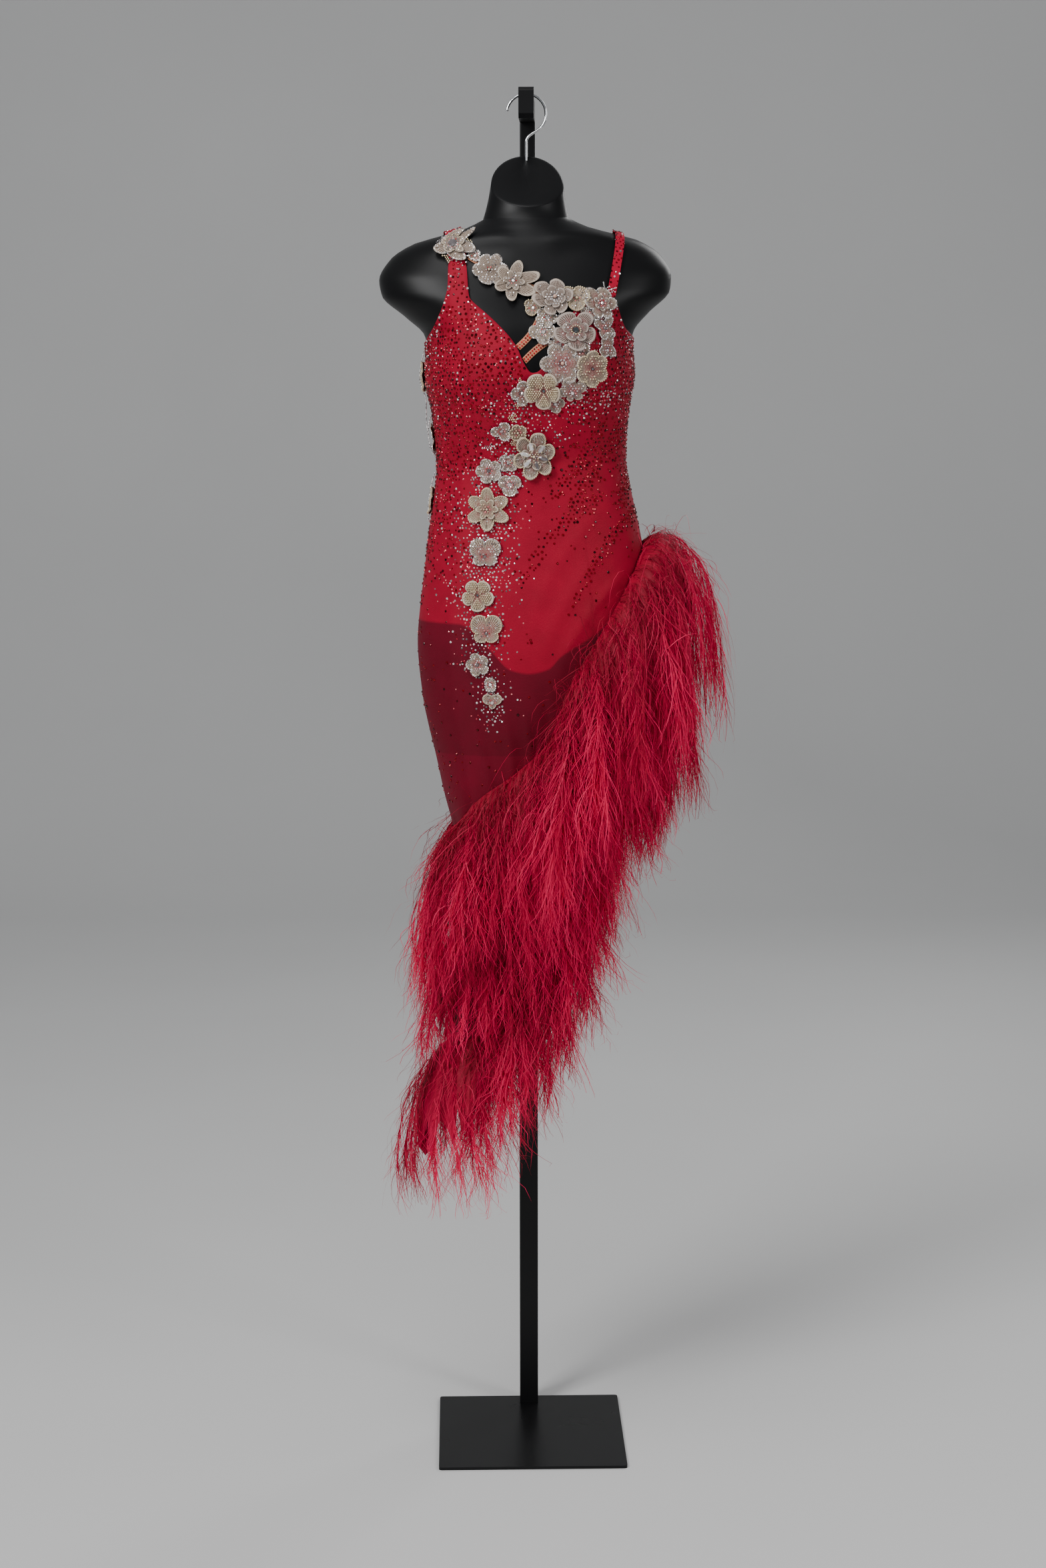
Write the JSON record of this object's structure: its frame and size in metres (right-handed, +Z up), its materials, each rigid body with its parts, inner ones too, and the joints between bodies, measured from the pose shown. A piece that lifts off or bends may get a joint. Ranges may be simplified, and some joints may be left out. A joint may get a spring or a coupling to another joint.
{
  "type": "ballroom dance dress on a hanging dress form and stand",
  "caption": "Red one-piece dance dress with a slanted feathered hem, crystal bodice and lace flowers, on a black hanging dress form and stand.",
  "frame": {"origin": "underside of the base plate, at its middle", "axes": "+Z up along the pole, -Y to the front, +X to the viewer's right"},
  "size_m": [0.4557, 0.3651, 1.825],
  "materials": {
    "gloss_black_plate": "gloss black powder coat",
    "black_steel": "satin black paint",
    "chrome_wire": "bright chrome wire",
    "black_form_plastic": "smooth semi-matte black",
    "red_stretch_mesh": "crimson stretch mesh set with small crystals",
    "red_lining": "crimson stretch lining",
    "nude_elastic": "nude stretch band",
    "beaded_lace": "ivory and taupe lace with pearls and crystals",
    "ostrich_feather": "crimson curled feather"
  },
  "bodies": {
    "root": {"base_plate": "gloss_black_plate", "lower_pole": "black_steel", "upper_pole": "black_steel", "pole_collar": "black_steel", "stand_arm": "black_steel", "hanger_hook": "chrome_wire", "dress_form": "black_form_plastic", "dress_front": "red_stretch_mesh", "dress_back": "red_stretch_mesh", "left_strap": "red_stretch_mesh", "right_strap": "red_stretch_mesh", "chest_band": "nude_elastic", "upper_bust_band": "nude_elastic", "lower_bust_band": "nude_elastic", "brief_front": "red_lining", "brief_back": "red_lining", "upper_feathers": "ostrich_feather", "middle_feathers": "ostrich_feather", "hem_feathers": "ostrich_feather", "shoulder_flower": "beaded_lace", "band_spray": "beaded_lace", "round_flower": "beaded_lace", "star_flower": "beaded_lace", "link_loops": "beaded_lace", "pearl_eye_flower": "beaded_lace", "pearl_trefoil": "beaded_lace", "crystal_spray": "beaded_lace", "oval_flower": "beaded_lace", "upper_leaf": "beaded_lace", "lower_leaf": "beaded_lace", "side_loops": "beaded_lace", "cup_flower": "beaded_lace", "edged_flower": "beaded_lace", "filled_flower": "beaded_lace", "flank_petal": "beaded_lace", "small_fan": "beaded_lace", "clear_leaf": "beaded_lace", "waist_flower": "beaded_lace", "waist_spray": "beaded_lace", "waist_trefoil": "beaded_lace", "hip_star": "beaded_lace", "hip_fan": "beaded_lace", "hip_flower": "beaded_lace", "lower_fan": "beaded_lace", "lower_spray": "beaded_lace", "small_leaf": "beaded_lace", "end_bell": "beaded_lace", "side_lace_upper": "beaded_lace", "side_lace_middle": "beaded_lace", "side_lace_lower": "beaded_lace"}
  },
  "joints": []
}
